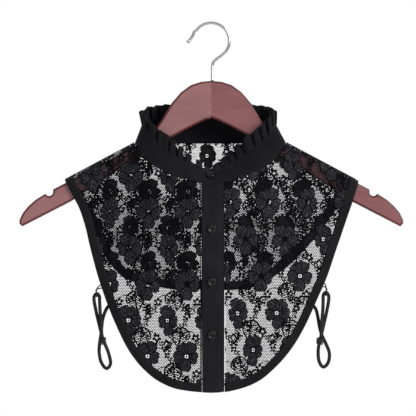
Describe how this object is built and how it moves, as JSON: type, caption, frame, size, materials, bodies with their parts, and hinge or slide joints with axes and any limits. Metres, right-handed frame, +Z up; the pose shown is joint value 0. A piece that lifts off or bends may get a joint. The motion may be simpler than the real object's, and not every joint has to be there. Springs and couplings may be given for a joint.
{
  "type": "lace collar on hanger",
  "caption": "Detachable lace bib collar with a pleated stand collar, buttoned front band, bound edge and side straps, hung on a flat wooden hanger with a wire hook.",
  "frame": {"origin": "inner top of the hook's arc, where the rod it hangs on touches the wire", "axes": "+X to the right seen from the front, along the hanger's arms; +Y towards the back; +Z up; the front faces -Y"},
  "size_m": [0.4446, 0.0722, 0.4296],
  "materials": {
    "chrome_wire": "polished",
    "mahogany_wood": "satin lacquer",
    "black_lace": "net with embroidered flowers",
    "black_cotton": "matt woven",
    "black_button": "semi-gloss",
    "black_elastic": "soft cord"
  },
  "bodies": {
    "root": {"hanger_hook": "chrome_wire", "hanger_left": "mahogany_wood", "hanger_right": "mahogany_wood", "front_left": "black_lace", "front_right": "black_lace", "binding_front_left": "black_cotton", "binding_front_right": "black_cotton", "back_panel": "black_lace", "binding_back": "black_cotton", "placket": "black_cotton", "button_stand": "black_cotton", "collar_stand": "black_cotton", "collar_frill": "black_cotton", "button_1": "black_button", "button_2": "black_button", "button_3": "black_button", "button_4": "black_button", "strap_left": "black_elastic", "strap_right": "black_elastic", "loop_left": "black_elastic", "loop_right": "black_elastic"}
  },
  "joints": []
}
